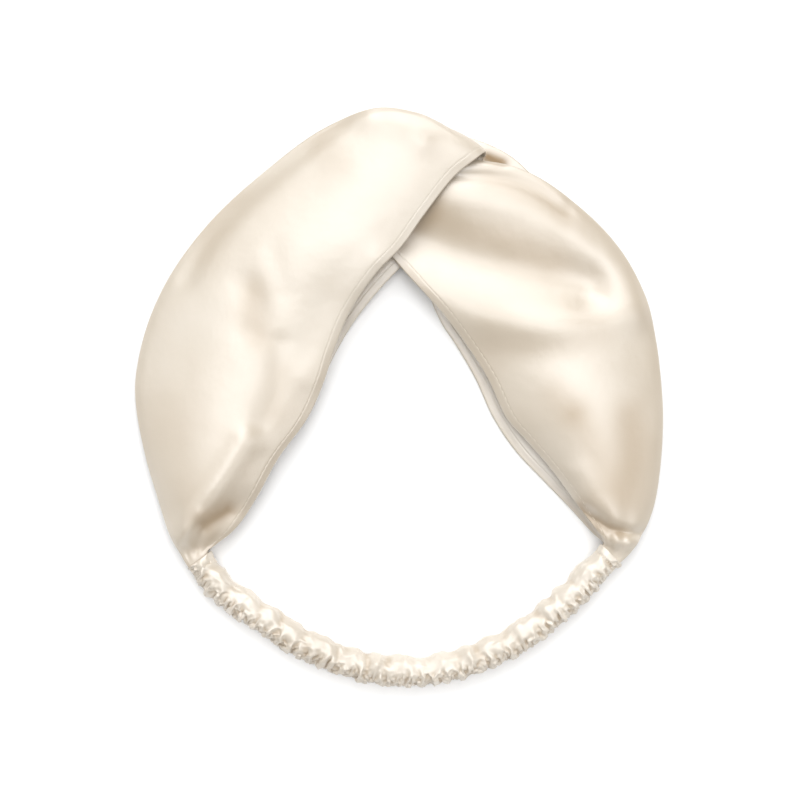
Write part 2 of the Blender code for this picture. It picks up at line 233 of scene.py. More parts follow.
def spaced(line, count):
    """The line again with count points at even distances along it."""
    along = np.concatenate([[0.0], np.cumsum(np.linalg.norm(np.diff(line, axis=0), axis=1))])
    at = np.linspace(0.0, along[-1], count)
    return np.stack([np.interp(at, along, line[:, k]) for k in range(line.shape[1])], axis=1)


def smoothstep(x, low, high):
    """0 up to low, 1 from high, and a smooth rise between."""
    t = np.clip((x - low) / (high - low), 0, 1)
    return t * t * (3 - 2 * t)


def fold_height(xy, folds):
    """Sum of the folds' heights at each point of xy, an (..., 2) array."""
    total = np.zeros(xy.shape[:-1])
    for path, width, height in folds:
        line = catmull(path, 6) if len(path) > 2 else np.array(path, float)
        nearest = np.full(xy.shape[:-1], 1e9)
        for a, b in zip(line, line[1:]):
            along = b - a
            t = np.clip(((xy - a) @ along) / (along @ along), 0, 1)
            gap = np.linalg.norm(xy - a - t[..., None] * along, axis=-1)
            nearest = np.minimum(nearest, gap)
        total += height * np.exp(-((nearest / width) ** 2))
    return total


# ---------------------------------------------------------------- materials


def node_tree(name):
    """A new material, with its nodes, links and shader."""
    made = bpy.data.materials.new(name)
    made.use_nodes = True
    tree = made.node_tree
    return made, tree.nodes, tree.links, tree.nodes["Principled BSDF"]


def satin_material(name, light, dark, warm, roughness):
    """Weft-faced satin: a soft gloss drawn out across the warp, faint slubs and uneven dye, and
    painted shade from a mesh attribute that darkens the colour and damps the gloss.
    """
    made, nodes, links, shader = node_tree(name)
    uv = nodes.new("ShaderNodeUVMap")
    uv.uv_map = "cloth"
    place = nodes.new("ShaderNodeTexCoord")

    uneven = nodes.new("ShaderNodeTexNoise")
    uneven.inputs["Scale"].default_value = 22.0
    uneven.inputs["Detail"].default_value = 3.0
    links.new(place.outputs["Object"], uneven.inputs["Vector"])
    ramp = nodes.new("ShaderNodeValToRGB")
    ramp.color_ramp.elements[0].position = 0.30
    ramp.color_ramp.elements[0].color = (*dark, 1)
    ramp.color_ramp.elements[1].position = 0.70
    ramp.color_ramp.elements[1].color = (*light, 1)
    middle = ramp.color_ramp.elements.new(0.5)
    middle.color = (*warm, 1)
    links.new(uneven.outputs["Fac"], ramp.inputs["Fac"])
    # Painted shade: a mesh attribute multiplies the colour by the dark warm colour below and
    # damps the gloss.
    painted_shade = nodes.new("ShaderNodeAttribute")
    painted_shade.attribute_name = "painted_shade"
    painted_darkening = nodes.new("ShaderNodeMix")
    painted_darkening.data_type = "RGBA"
    painted_darkening.blend_type = "MULTIPLY"
    painted_darkening.inputs[7].default_value = (0.60, 0.49, 0.36, 1)
    links.new(painted_shade.outputs["Fac"], painted_darkening.inputs[0])
    links.new(ramp.outputs["Color"], painted_darkening.inputs[6])
    links.new(painted_darkening.outputs[2], shader.inputs["Base Color"])
    gloss = nodes.new("ShaderNodeMapRange")
    gloss.inputs["To Min"].default_value = 1.0
    gloss.inputs["To Max"].default_value = 0.05
    links.new(painted_shade.outputs["Fac"], gloss.inputs["Value"])
    links.new(gloss.outputs["Result"], shader.inputs["Specular IOR Level"])

    stretch = nodes.new("ShaderNodeMapping")
    stretch.inputs["Scale"].default_value = (260.0, 2600.0, 1.0)
    links.new(uv.outputs["UV"], stretch.inputs["Vector"])
    slub = nodes.new("ShaderNodeTexNoise")
    slub.inputs["Scale"].default_value = 1.0
    slub.inputs["Detail"].default_value = 2.0
    links.new(stretch.outputs["Vector"], slub.inputs["Vector"])
    weave_scale = nodes.new("ShaderNodeMapping")
    weave_scale.inputs["Scale"].default_value = (5200.0, 5200.0, 1.0)
    links.new(uv.outputs["UV"], weave_scale.inputs["Vector"])
    weave = nodes.new("ShaderNodeTexWave")
    weave.inputs["Scale"].default_value = 1.0
    weave.inputs["Distortion"].default_value = 0.6
    links.new(weave_scale.outputs["Vector"], weave.inputs["Vector"])
    crinkle = nodes.new("ShaderNodeTexNoise")
    crinkle.inputs["Scale"].default_value = 130.0
    crinkle.inputs["Detail"].default_value = 2.0
    links.new(place.outputs["Object"], crinkle.inputs["Vector"])

    normal = None
    for source, strength, depth in (
        (crinkle, 0.5, 0.00035),
        (slub, 0.25, 0.00005),
        (weave, 0.12, 0.00003),
    ):
        bump = nodes.new("ShaderNodeBump")
        bump.inputs["Strength"].default_value = strength
        bump.inputs["Distance"].default_value = depth
        links.new(source.outputs["Fac"], bump.inputs["Height"])
        if normal:
            links.new(normal, bump.inputs["Normal"])
        normal = bump.outputs["Normal"]
    links.new(normal, shader.inputs["Normal"])

    tangent = nodes.new("ShaderNodeTangent")
    tangent.direction_type = "UV_MAP"
    tangent.uv_map = "cloth"
    links.new(tangent.outputs["Tangent"], shader.inputs["Tangent"])
    shader.inputs["Roughness"].default_value = roughness
    shader.inputs["IOR"].default_value = 1.9
    shader.inputs["Anisotropic"].default_value = 0.55
    shader.inputs["Sheen Weight"].default_value = 0.25
    shader.inputs["Sheen Roughness"].default_value = 0.35
    shader.inputs["Sheen Tint"].default_value = (1.0, 0.95, 0.87, 1)
    return made


def thread_material(name, colour):
    """Twisted sewing thread."""
    made, nodes, links, shader = node_tree(name)
    place = nodes.new("ShaderNodeTexCoord")
    twist = nodes.new("ShaderNodeTexWave")
    twist.bands_direction = "DIAGONAL"
    twist.inputs["Scale"].default_value = 1500.0
    links.new(place.outputs["Object"], twist.inputs["Vector"])
    fleck = nodes.new("ShaderNodeTexNoise")
    fleck.inputs["Scale"].default_value = 900.0
    links.new(place.outputs["Object"], fleck.inputs["Vector"])
    mix = nodes.new("ShaderNodeMix")
    mix.data_type = "RGBA"
    mix.inputs[6].default_value = (*colour, 1)
    mix.inputs[7].default_value = (*[c * 0.8 for c in colour], 1)
    links.new(fleck.outputs["Fac"], mix.inputs[0])
    links.new(mix.outputs[2], shader.inputs["Base Color"])
    bump = nodes.new("ShaderNodeBump")
    bump.inputs["Strength"].default_value = 0.6
    bump.inputs["Distance"].default_value = 0.0001
    links.new(twist.outputs["Fac"], bump.inputs["Height"])
    links.new(bump.outputs["Normal"], shader.inputs["Normal"])
    shader.inputs["Roughness"].default_value = 0.5
    shader.inputs["Sheen Weight"].default_value = 0.3
    return made


def elastic_material(name):
    """Knitted elastic: ribs of covered rubber with a fine cross weave."""
    made, nodes, links, shader = node_tree(name)
    uv = nodes.new("ShaderNodeUVMap")
    uv.uv_map = "cloth"
    scale = nodes.new("ShaderNodeMapping")
    scale.inputs["Scale"].default_value = (900.0, 900.0, 1.0)
    links.new(uv.outputs["UV"], scale.inputs["Vector"])
    knit = nodes.new("ShaderNodeTexBrick")
    knit.inputs["Color1"].default_value = (0.80, 0.78, 0.74, 1)
    knit.inputs["Color2"].default_value = (0.72, 0.70, 0.66, 1)
    knit.inputs["Mortar"].default_value = (0.45, 0.43, 0.40, 1)
    links.new(scale.outputs["Vector"], knit.inputs["Vector"])
    links.new(knit.outputs["Color"], shader.inputs["Base Color"])
    bump = nodes.new("ShaderNodeBump")
    bump.inputs["Strength"].default_value = 0.55
    bump.inputs["Distance"].default_value = 0.0002
    links.new(knit.outputs["Fac"], bump.inputs["Height"])
    links.new(bump.outputs["Normal"], shader.inputs["Normal"])
    shader.inputs["Roughness"].default_value = 0.8
    return made


# ---------------------------------------------------------------- meshes


def add_mesh(name, points, faces, finish):
    """A smooth-shaded object from an (n, 3) array of points in mm."""
    mesh = bpy.data.meshes.new(name)
    mesh.from_pydata((points * MM).tolist(), [], faces)
    bm = bmesh.new()
    bm.from_mesh(mesh)
    bmesh.ops.recalc_face_normals(bm, faces=bm.faces)
    bm.to_mesh(mesh)
    bm.free()
    mesh.shade_smooth()
    mesh.materials.append(finish)
    obj = bpy.data.objects.new(name, mesh)
    bpy.context.scene.collection.objects.link(obj)
    return obj


def grid_object(name, points, finish, uv, painted_shade=None, caps=False):
    """A tube from an (along, around, 3) array of points in mm.

    uv is an (along, around, 2) array in mm, and the painted shade an (along, around) array from 0
    to 1.
    """
    index = np.arange(points.shape[0] * points.shape[1]).reshape(points.shape[:2])
    rows = np.hstack([index, index[:, :1]])
    faces = np.stack(
        [rows[:-1, :-1], rows[:-1, 1:], rows[1:, 1:], rows[1:, :-1]], axis=-1
    ).reshape(-1, 4).tolist()
    if caps:
        faces.append(index[0].tolist())
        faces.append(index[-1][::-1].tolist())
    obj = add_mesh(name, points.reshape(-1, 3), faces, finish)
    mesh = obj.data
    corner = np.zeros(len(mesh.loops), np.int32)
    mesh.loops.foreach_get("vertex_index", corner)
    layer = mesh.uv_layers.new(name="cloth")
    layer.data.foreach_set("uv", (uv.reshape(-1, 2)[corner] * MM).astype(np.float32).ravel())
    # The painted shade goes on the mesh as an attribute that the satin's shader reads.
    if painted_shade is not None:
        shade = mesh.attributes.new("painted_shade", "FLOAT", "POINT")
        shade.data.foreach_set("value", np.clip(painted_shade, 0, 1).astype(np.float32).ravel())
    return obj


def grid_normals(points):
    """Unit normals of an (along, across, 3) grid."""
    along = np.gradient(points, axis=0)
    across = np.gradient(points, axis=1)
    normal = np.cross(along, across)
    return normal / np.maximum(np.linalg.norm(normal, axis=-1, keepdims=True), 1e-9)


def stitches(name, line, finish, pitch=2.6, gap=0.7, radius=0.08, sides=6):
    """Short stitches along a line of (x, y, z), each a bowed capsule, as one mesh."""
    lengths = np.r_[0, np.cumsum(np.linalg.norm(np.diff(line, axis=0), axis=1))]
    bow = 0.06 * np.array([-1.2, 0.4, 1, 0.4, -1.2])
    thickness = radius * np.array([0.55, 1, 1, 1, 0.55])
    rings = len(bow)
    verts, faces = [], []
    for n in range(int(lengths[-1] // pitch)):
        at = np.linspace(n * pitch, (n + 1) * pitch - gap, rings)
        spine = np.stack([np.interp(at, lengths, line[:, k]) for k in range(3)], axis=1)
        spine[:, 2] += bow
        along = np.gradient(spine, axis=0)
        along /= np.linalg.norm(along, axis=1)[:, None]
        side = np.cross(along, UP)
        side /= np.maximum(np.linalg.norm(side, axis=1)[:, None], 1e-9)
        up = np.cross(side, along)
        base = len(verts)
        for p, s, u, r in zip(spine, side, up, thickness):
            for a in np.arange(sides) * math.tau / sides:
                verts.append(p + s * r * math.cos(a) + u * r * math.sin(a))
        for k in range(rings - 1):
            for j in range(sides):
                a, b = base + k * sides + j, base + k * sides + (j + 1) % sides
                faces.append((a, b, b + sides, a + sides))
        faces.append(tuple(base + j for j in range(sides))[::-1])
        faces.append(tuple(base + (rings - 1) * sides + j for j in range(sides)))
    return add_mesh(name, np.array(verts), faces, finish)


# ---------------------------------------------------------------- bands

SEAM_INSET = 3.0
INNER_STEPS = np.array([0, 0.2, 0.5, 0.9, 1.4, 1.9, 2.3, 2.55, 2.8, 3.0, 3.2, 3.45, 3.8, 4.4])
OUTER_STEPS = np.array([3.0, 2.2, 1.5, 0.9, 0.5, 0.2, 0.0])
BODY_POINTS = 36
CLOTH_HALF = 0.62  # half the thickness of the two plies
DITCH_DEPTH = 0.10  # how far the seam draws each ply in
FULL_WIDTH = 26.0  # below this width the steps at the edges shrink with the band
LOWEST_MIDDLE = 0.95
KNOT_MIDDLE = 4.8  # height at which the two strands meet in the fold
KNOT_REACH = 11  # rows
PLEATS = 3.2  # across the gathered end
FRONT_PLEAT, BACK_PLEAT = 0.2, 0.5
DOWN_FACING_PAINTED_SHADE = 0.12  # painted shade on the side that faces down
PAINTED_SHADE_STRENGTH = 0.5


def front_share(number, knot):
    """1 on the front strand's rows, easing to 0 between 40 and 14 rows before the knot."""
    return smoothstep(-number, 14 - knot, 40 - knot)


def gathered_share(number):
    """1 at 26 rows from a sewn end, easing to 0 inside the mouth and along the strand."""
    return smoothstep(number, 12, 26) * (1 - smoothstep(number, 26, 62))


def band_section(width):
    """Distances from the inner edge, and the half-thickness at each, for one row."""
    k = min(1.0, width / FULL_WIDTH)
    body = np.linspace(INNER_STEPS[-1] * k, width - OUTER_STEPS[0] * k, BODY_POINTS + 2)[1:-1]
    d = np.concatenate([INNER_STEPS * k, body, width - OUTER_STEPS * k])
    edge = np.minimum(d, width - d)
    half = CLOTH_HALF * np.sqrt(1 - (1 - np.clip(edge / (0.6 * k), 0, 1)) ** 2)
    half = half * (0.55 + 0.45 * smoothstep(edge, 0.3 * k, 3.4 * k))
    half = half - DITCH_DEPTH * np.exp(-(((d - SEAM_INSET * k) / 0.20) ** 2))
    return d, np.maximum(half, 0.0)


def band_surface(stations, folds, knot, pleat_phase, billow, pinch):
    """The band's mid-surface and half-thickness, with the distance from the inner edge."""
    rows = catmull([(*outer, *inner, bow) for outer, inner, bow in stations], SPAN_STEPS)
    mid, half, inset = [], [], []
    for n, row in enumerate(rows):
        outer, inner, bow = row[:3], row[3:6], row[6]
        width = np.linalg.norm(inner - outer)
        d, h = band_section(width)
        t = 1 - d / width
        p = outer * (1 - t[:, None]) + inner * t[:, None]
        crown = 4 * t * (1 - t)
        p[:, 2] += bow * crown
        near_knot = math.exp(-(((n - knot) / KNOT_REACH) ** 2))
        p[:, :2] += near_knot * (1.6 * crown - 1.1)[:, None] * np.array(billow)
        p[:, 2] -= near_knot * pinch * (1 - crown) ** 2 * (p[:, 2] - KNOT_MIDDLE)
        p[:, 2] = np.maximum(p[:, 2], LOWEST_MIDDLE)
        mid.append(p)
        half.append(h)
        inset.append(d)
    mid, half, inset = np.array(mid), np.array(half), np.array(inset)
    number = np.arange(len(rows))[:, None]
    share = 1 - inset / inset[:, -1:]
    pleats = np.sin(share * math.tau * PLEATS + pleat_phase + number * 0.02)
    folded = front_share(number, knot) * smoothstep(number, 12, 30)
    mid[..., 2] += fold_height(mid[..., :2], folds) * folded
    mid[..., 2] += FRONT_PLEAT * pleats * gathered_share(number)
    mid[..., 2] += BACK_PLEAT * (1 + pleats) * gathered_share(len(rows) - number)
    return mid, half, inset


def band(name, stations, folds, shade_lines, back_shade_lines, knot_station, pleat_phase, billow, pinch,
         seam_rows, upper_sign):
    """A band, and the points of the seam on its front strand's upper side.

    upper_sign is -1 where the sheet's own normals point down on the front strand.
    """
    knot = knot_station * SPAN_STEPS
    mid, half, inset = band_surface(stations, folds, knot, pleat_phase, billow, pinch)
    normal = grid_normals(mid)
    top = mid + normal * half[..., None]
    under = mid - normal * half[..., None]
    loop = np.concatenate([top, under[:, -2:0:-1]], axis=1)
    loop[..., 2] = np.maximum(loop[..., 2], FLOOR_GAP)

    middle = mid[:, mid.shape[1] // 2]
    length = np.r_[0, np.cumsum(np.linalg.norm(np.diff(middle, axis=0), axis=1))]
    uv_top = np.stack([np.broadcast_to(length[:, None], inset.shape), inset], axis=-1)
    uv = np.concatenate([uv_top, uv_top[:, -2:0:-1]], axis=1)

    # Painted shade: the lines darken the side that faces up, and the side that faces down is
    # painted a flat amount darker.
    front = front_share(np.arange(len(mid))[:, None], knot)
    painted_darkening = fold_height(mid[..., :2], shade_lines) * front
    painted_darkening += fold_height(mid[..., :2], back_shade_lines) * (1 - front)
    upper = smoothstep(normal[..., 2], -0.3, 0.3)
    shown = PAINTED_SHADE_STRENGTH * painted_darkening - DOWN_FACING_PAINTED_SHADE
    top_painted_shade = DOWN_FACING_PAINTED_SHADE + shown * upper
    under_painted_shade = DOWN_FACING_PAINTED_SHADE + shown * (1 - upper)
    painted_shade = np.concatenate([top_painted_shade, under_painted_shade[:, -2:0:-1]], axis=1)

    ditch = int(np.argmin(np.abs(INNER_STEPS - SEAM_INSET)))
    seam = slice(*seam_rows)
    lift = (half[seam, ditch] - 0.02) * upper_sign
    seam_points = mid[seam, ditch] + normal[seam, ditch] * lift[:, None]
    return grid_object(name, loop, satin, uv, painted_shade, caps=True), seam_points


# ---------------------------------------------------------------- casing

TUBE_RATIO = 1.6  # the tube's cut length over its gathered length
TUBE_STEP = 1.0
TUBE_AROUND = 38
TUBE_RADIUS = 6.0
TUBE_FLAT = 0.9  # height over width
SIM_SCALE = 0.02  # cloth runs 20 times larger, where the solver is steady
GATHER_FRAMES = 36
LAST_FRAME = 46
FINE_STEP = 0.25
CORE_RADIUS = 3.9  # stands in for the strap
MOUTH_HALF_WIDTH, MOUTH_HALF_HEIGHT = 5.1, 3.0
MOUTH_PLEATS = 9
PUFF_HEIGHT, PUFF_PITCH = 0.6, 11.0  # of the inner side's broad puffs
LIP_HEIGHT = 0.3
GROOVE = 3.0  # from a mouth to its join's stitches
GROOVE_DEPTH = 0.45
ZIGZAGS = 11  # round each join
SEAM_OUT = 3.5  # from the casing's axis to its own seam
THREAD_RADIUS = 0.12
HEM = (4.5, 3.0, 1.5, 0.5, 0.0)  # how far inside the mouth each row of the turned-in hem lies


def casing_path(step):
    """The casing's axis: points, directions, outward sides and distances from the left mouth."""
    fine = catmull([(x, y, CENTRE_HEIGHT) for x, y in CASING_AXIS], SPAN_STEPS)
    total = np.linalg.norm(np.diff(fine, axis=0), axis=1).sum()
    count = int(total / step) + 1
    line = spaced(fine, count)
    along = np.gradient(line, axis=0)
    along /= np.linalg.norm(along, axis=1)[:, None]
    outward = np.stack([along[:, 1], -along[:, 0], np.zeros(count)], axis=1)
    return line, along, outward, np.linspace(0, total, count)


def tube_at_rest(total):
    """The ungathered tube, the gathered target of its held points, and those points' indices."""
    count = int(total * TUBE_RATIO / TUBE_STEP) + 1
    x = np.linspace(0, total * TUBE_RATIO, count)[:, None]
    angle = np.arange(TUBE_AROUND) / TUBE_AROUND * math.tau
    uneven = 1 + 0.03 * rng.standard_normal((count, TUBE_AROUND))
    flat = np.stack(
        [np.broadcast_to(x, uneven.shape), TUBE_RADIUS * np.cos(angle) * uneven,
         TUBE_RADIUS * TUBE_FLAT * np.sin(angle) * uneven], axis=-1,
    )
    gathered = flat.copy()
    gathered[..., 0] /= TUBE_RATIO
    pleats = 1 + 0.05 * np.sin(MOUTH_PLEATS * angle)
    for row in (0, -1):
        for axis, reach, turn in (
            (1, MOUTH_HALF_WIDTH, np.cos(angle)), (2, MOUTH_HALF_HEIGHT, np.sin(angle))
        ):
            gathered[row, :, axis] = reach * pleats * np.sign(turn) * np.abs(turn) ** 0.7
    held = [i * TUBE_AROUND + j for i in (0, count - 1) for j in range(TUBE_AROUND)]
    half = TUBE_AROUND // 2
    for column, low, high, radius in (
        (0, 4.0, 6.5, 5.0), (half, 8, 13, 5.0), (half + 4, 9, 14, 4.9), (half - 4, 9, 14, 4.9)
    ):
        at = rng.uniform(low, high)
        while at < total - 1.5:
            row = int(round(at * TUBE_RATIO / TUBE_STEP))
            if 1 < row < count - 2:
                held.append(row * TUBE_AROUND + column)
                gathered[row, column, 1] = radius * math.cos(angle[column])
                gathered[row, column, 2] = radius * TUBE_FLAT * math.sin(angle[column])
            at += rng.uniform(low, high)
    return flat, gathered, held


def simulate_gathers(total):
    """Cloth simulation of the satin tube as the elastic inside draws it up."""
    flat, gathered, held = tube_at_rest(total)
    scene = bpy.context.scene
    count = len(flat)
    index = np.arange(count * TUBE_AROUND).reshape(count, TUBE_AROUND)
    after = np.roll(index, -1, axis=1)
    faces = np.stack([index[:-1], after[:-1], after[1:], index[1:]], axis=-1).reshape(-1, 4)
    mesh = bpy.data.meshes.new("tube")
    mesh.from_pydata((flat * SIM_SCALE).reshape(-1, 3).tolist(), [], faces.tolist())
    tube = bpy.data.objects.new("tube", mesh)
    scene.collection.objects.link(tube)
    tube.shape_key_add(name="Basis")
    short = tube.shape_key_add(name="short")
    short.data.foreach_set("co", (gathered * SIM_SCALE).astype(np.float32).ravel())
    for value, frame_number in ((0, 1), (1, GATHER_FRAMES)):
        short.value = value
        short.keyframe_insert("value", frame=frame_number)
    tube.vertex_groups.new(name="held").add(held, 1.0, "REPLACE")

    core = bpy.data.meshes.new("core")
    bm = bmesh.new()
    bmesh.ops.create_cone(
        bm, segments=24, radius1=CORE_RADIUS * SIM_SCALE, radius2=CORE_RADIUS * SIM_SCALE,
        depth=(total * TUBE_RATIO + 20) * SIM_SCALE, cap_ends=True,
    )
    bm.to_mesh(core)
    bm.free()
    strap_core = bpy.data.objects.new("core", core)
    strap_core.location = (total * TUBE_RATIO * SIM_SCALE / 2, 0, 0)
    strap_core.rotation_euler = (0, math.pi / 2, 0)
    strap_core.scale = (TUBE_FLAT, 1, 1)
    scene.collection.objects.link(strap_core)
    strap_core.modifiers.new("hit", "COLLISION")
    strap_core.collision.thickness_outer = 0.004
    strap_core.collision.cloth_friction = 0.5

    cloth = tube.modifiers.new("cloth", "CLOTH")
    settings = cloth.settings
    settings.quality = 8
    settings.mass = 0.15
    settings.tension_stiffness = settings.compression_stiffness = 12
    settings.tension_damping = settings.compression_damping = 4
    settings.shear_stiffness, settings.shear_damping = 4, 3
    settings.bending_stiffness, settings.bending_damping = 1.2, 0.5
    settings.air_damping = 2
    settings.vertex_group_mass = "held"
    settings.pin_stiffness = 3
    settings.effector_weights.gravity = 0
    settings.use_pressure = True
    settings.uniform_pressure_force = 0.8
    cloth.collision_settings.distance_min = 0.004
    cloth.collision_settings.use_self_collision = True
    cloth.collision_settings.self_distance_min = 0.006
    cloth.point_cache.frame_start, cloth.point_cache.frame_end = 1, LAST_FRAME + 4
    for number in range(1, LAST_FRAME + 1):
        scene.frame_set(number)
    done = tube.evaluated_get(bpy.context.evaluated_depsgraph_get()).data
    shape = np.empty(count * TUBE_AROUND * 3, np.float32)
    done.vertices.foreach_get("co", shape)
    for helper in (tube, strap_core):
        old = helper.data
        bpy.data.objects.remove(helper)
        bpy.data.meshes.remove(old)
    scene.frame_set(1)
    return shape.reshape(count, TUBE_AROUND, 3).astype(float) / SIM_SCALE


def eased(tube):
    """The tube with its inner side, away from the casing's seam, calmed into broad puffs."""
    count, around = tube.shape[:2]
    inner = 0.5 - 0.5 * np.cos(np.arange(around) / around * math.tau)
    spread = 0.2 + 1.7 * smoothstep(inner, 0.15, 0.8)
    out = tube.copy()
    drift = np.linspace(tube[0, 0, 0], tube[-1, 0, 0], count)
    for column, sigma in enumerate(spread):
        reach = int(3 * sigma) + 1
        kernel = np.exp(-0.5 * (np.arange(-reach, reach + 1) / sigma) ** 2)
        kernel /= kernel.sum()
        for axis in range(3):
            base = drift if axis == 0 else 0
            values = np.pad(tube[:, column, axis] - base, reach, mode="edge")
            out[:, column, axis] = np.convolve(values, kernel, "valid") + base
    return out


def finer(grid):
    """Twice the points each way, on a smooth curve through them; the second axis is closed."""
    before, after, later = (np.roll(grid, k, axis=1) for k in (1, -1, -2))
    middle = (9 * (grid + after) - before - later) / 16
    grid = np.stack([grid, middle], axis=2).reshape(len(grid), -1, grid.shape[-1])
    ends = np.concatenate([2 * grid[:1] - grid[1:2], grid, 2 * grid[-1:] - grid[-2:-1]])
    middle = (9 * (ends[1:-2] + ends[2:-1]) - ends[:-3] - ends[3:]) / 16
    out = np.empty((2 * len(grid) - 1, *grid.shape[1:]))
    out[::2], out[1::2] = grid, middle
    return out


def hollows(radius):
    """How far each point lies under the mean of its neighbours along the tube, in mm."""
    window = 21
    padded = np.pad(radius, ((window // 2, window // 2), (0, 0)), mode="edge")
    total = np.cumsum(np.vstack([np.zeros((1, radius.shape[1])), padded]), axis=0)
    return (total[window:] - total[:-window]) / window - radius


def casing_points():
    """The gathered tube laid along the casing's path, with its hems turned in at the mouths."""
    line, along, outward, s = casing_path(FINE_STEP)
    total = s[-1]
    tube = finer(eased(simulate_gathers(total)))
    x, out, up = (tube[..., k] for k in range(3))
    angle = np.arctan2(up, out)
    near = np.minimum(x, total - x)
    inner = 0.5 - 0.5 * np.cos(angle)
    puffs = np.sin(
        x * math.tau / PUFF_PITCH + 1.1 * np.sin(x * math.tau / 37) + 0.6 * np.abs(angle)
    )
    swell = 0.2 + PUFF_HEIGHT * puffs * smoothstep(near, 3, 9)
    radius = np.hypot(out, up)
    size = 1 + swell * smoothstep(inner, 0.2, 0.8) / radius
    size = size * (0.93 + 0.07 * smoothstep(near, 2.0, 12.0))
    size = size - GROOVE_DEPTH / radius * np.exp(-(((near - GROOVE) / 0.6) ** 2))
    size = size + LIP_HEIGHT / radius * np.exp(-((near / 0.9) ** 2))
    out, up = out * size, up * size
    # Painted shade: the hollows between the ruffles are painted darker and duller.
    painted_shade = 0.5 * smoothstep(hollows(radius * size), 0.0, 0.8)

    def at(table, where):
        return np.stack([np.interp(where, s, table[:, k]) for k in range(3)], axis=-1)

    x = np.clip(x, 0, total)
    points = at(line, x) + at(outward, x) * out[..., None] + UP * up[..., None]
    hems = []
    for end, sign in ((0, 1), (-1, -1)):
        rows = []
        for inside in HEM:
            towards = points[end] - line[end]
            shrink = (0.55 if inside else 0.28) / np.linalg.norm(towards, axis=1, keepdims=True)
            rows.append(line[end] + along[end] * sign * inside + towards * (1 - shrink))
        hems.append(np.array(rows)[::sign])
    points = np.concatenate([hems[0], points, hems[1]])
    points[..., 2] = np.maximum(points[..., 2], FLOOR_GAP)
    hem = np.array(HEM)
    length = np.linspace(0, total * TUBE_RATIO, len(tube))
    length = np.r_[-hem, length, total * TUBE_RATIO + hem[::-1]]
    around = np.linspace(0, math.tau * TUBE_RADIUS, points.shape[1])
    uv = np.stack([np.broadcast_to(length[:, None], points.shape[:2]),
                   np.broadcast_to(around, points.shape[:2])], axis=-1)
    ends = ((len(HEM), len(HEM)), (0, 0))
    return points, uv, np.pad(x, ends, mode="edge"), np.pad(painted_shade, ends, mode="edge")


def strap_points():
    """Flat ribbed elastic on edge inside the casing, turned flat at each end."""
    half_width, ribs, rib_points = 3.2, 3, 25
    line, _, outward, s = casing_path(1.0)
    near = np.minimum(s, s[-1] - s)
    keep = near >= 1.5
    turn = smoothstep(near, 6.0, 28.0)[:, None] * math.pi / 2
    across = outward * np.cos(turn) + UP * np.sin(turn)
    through = -outward * np.sin(turn) + UP * np.cos(turn)
    a = np.linspace(-1, 1, rib_points)
    depth = 0.40 + 0.10 * np.cos(a * math.tau * ribs)
    wide = np.r_[a, a[::-1]] * half_width
    deep = np.r_[depth, -depth[::-1]]
    points = (
        line[:, None, :]
        + across[:, None, :] * wide[None, :, None]
        + through[:, None, :] * deep[None, :, None]
    )[keep]
    uv = np.stack([np.broadcast_to(s[keep][:, None], points.shape[:2]),
                   np.broadcast_to(wide, points.shape[:2])], axis=-1)
    return points, uv


def ring_stitches(name, points, x, left):
    """Zigzag stitches sunk in the groove near a mouth of the casing."""
    line, along, outward, s = casing_path(FINE_STEP)
    i = int(round(GROOVE / FINE_STEP))
    i = i if left else len(s) - 1 - i
    body = slice(len(HEM), -len(HEM))
    rows = np.argmin(np.abs(x[body] - s[i]), axis=0)
    ring = points[body][rows, np.arange(points.shape[1])] - line[i]
    out, up = ring @ outward[i], ring[:, 2]
    angle = np.unwrap(np.arctan2(up, out))
    order = np.argsort(angle)
    turns = np.linspace(angle.min(), angle.min() + math.tau, 200, endpoint=False)
    radius = np.interp(turns, angle[order], np.hypot(out, up)[order]) + THREAD_RADIUS
    zigzag = 0.55 * np.sin(turns * ZIGZAGS)
    ring = (
        line[i]
        + outward[i] * (radius * np.cos(turns))[:, None]
        + UP * (radius * np.sin(turns))[:, None]
        + along[i] * zigzag[:, None]
    )
    ring[:, 2] = np.maximum(ring[:, 2], 0.35)
    return stitches(name, ring, thread, pitch=1.5, gap=0.35, radius=THREAD_RADIUS)


def inner_seam(name):
    """The casing's own seam, along the outer side inside the tube."""
    line, _, outward, s = casing_path(1.0)
    near = np.minimum(s, s[-1] - s)
    points = (line + outward * SEAM_OUT)[near >= 7.0]
    return stitches(name, points, thread, pitch=2.2, gap=0.5, radius=THREAD_RADIUS)


# ---------------------------------------------------------------- build

satin = satin_material(
    "satin_champagne", (0.59, 0.522, 0.428), (0.51, 0.43, 0.33), (0.555, 0.482, 0.382), 0.39
)
# The casing is the same champagne satin as the bands, in lighter colours: painted light, for the
# ruched tube looking whiter under the lamps.
lightened_ruched_satin = satin_material(
    "satin_ruched_painted_light", (0.66, 0.595, 0.50), (0.56, 0.49, 0.395), (0.62, 0.55, 0.455), 0.46
)
thread = thread_material("thread_champagne", (0.80, 0.73, 0.62))
elastic = elastic_material("elastic_knit")

left_band, left_seam_points = band(
    "left_band_satin", LEFT_BAND, LEFT_FOLDS, LEFT_PAINTED_SHADE, back_shade_lines=[], knot_station=16,
    pleat_phase=0.6, billow=(0.47, 0.88), pinch=0.0, seam_rows=(26, 174), upper_sign=1,
)
right_band, right_seam_points = band(
    "right_band_satin", RIGHT_BAND, RIGHT_FOLDS, RIGHT_PAINTED_SHADE, RIGHT_BACK_PAINTED_SHADE, knot_station=18,
    pleat_phase=2.1, billow=(-0.48, 0.88), pinch=0.35, seam_rows=(26, 196), upper_sign=-1,
)
left_seam = stitches("left_band_seam", left_seam_points, thread)
right_seam = stitches("right_band_seam", right_seam_points, thread)

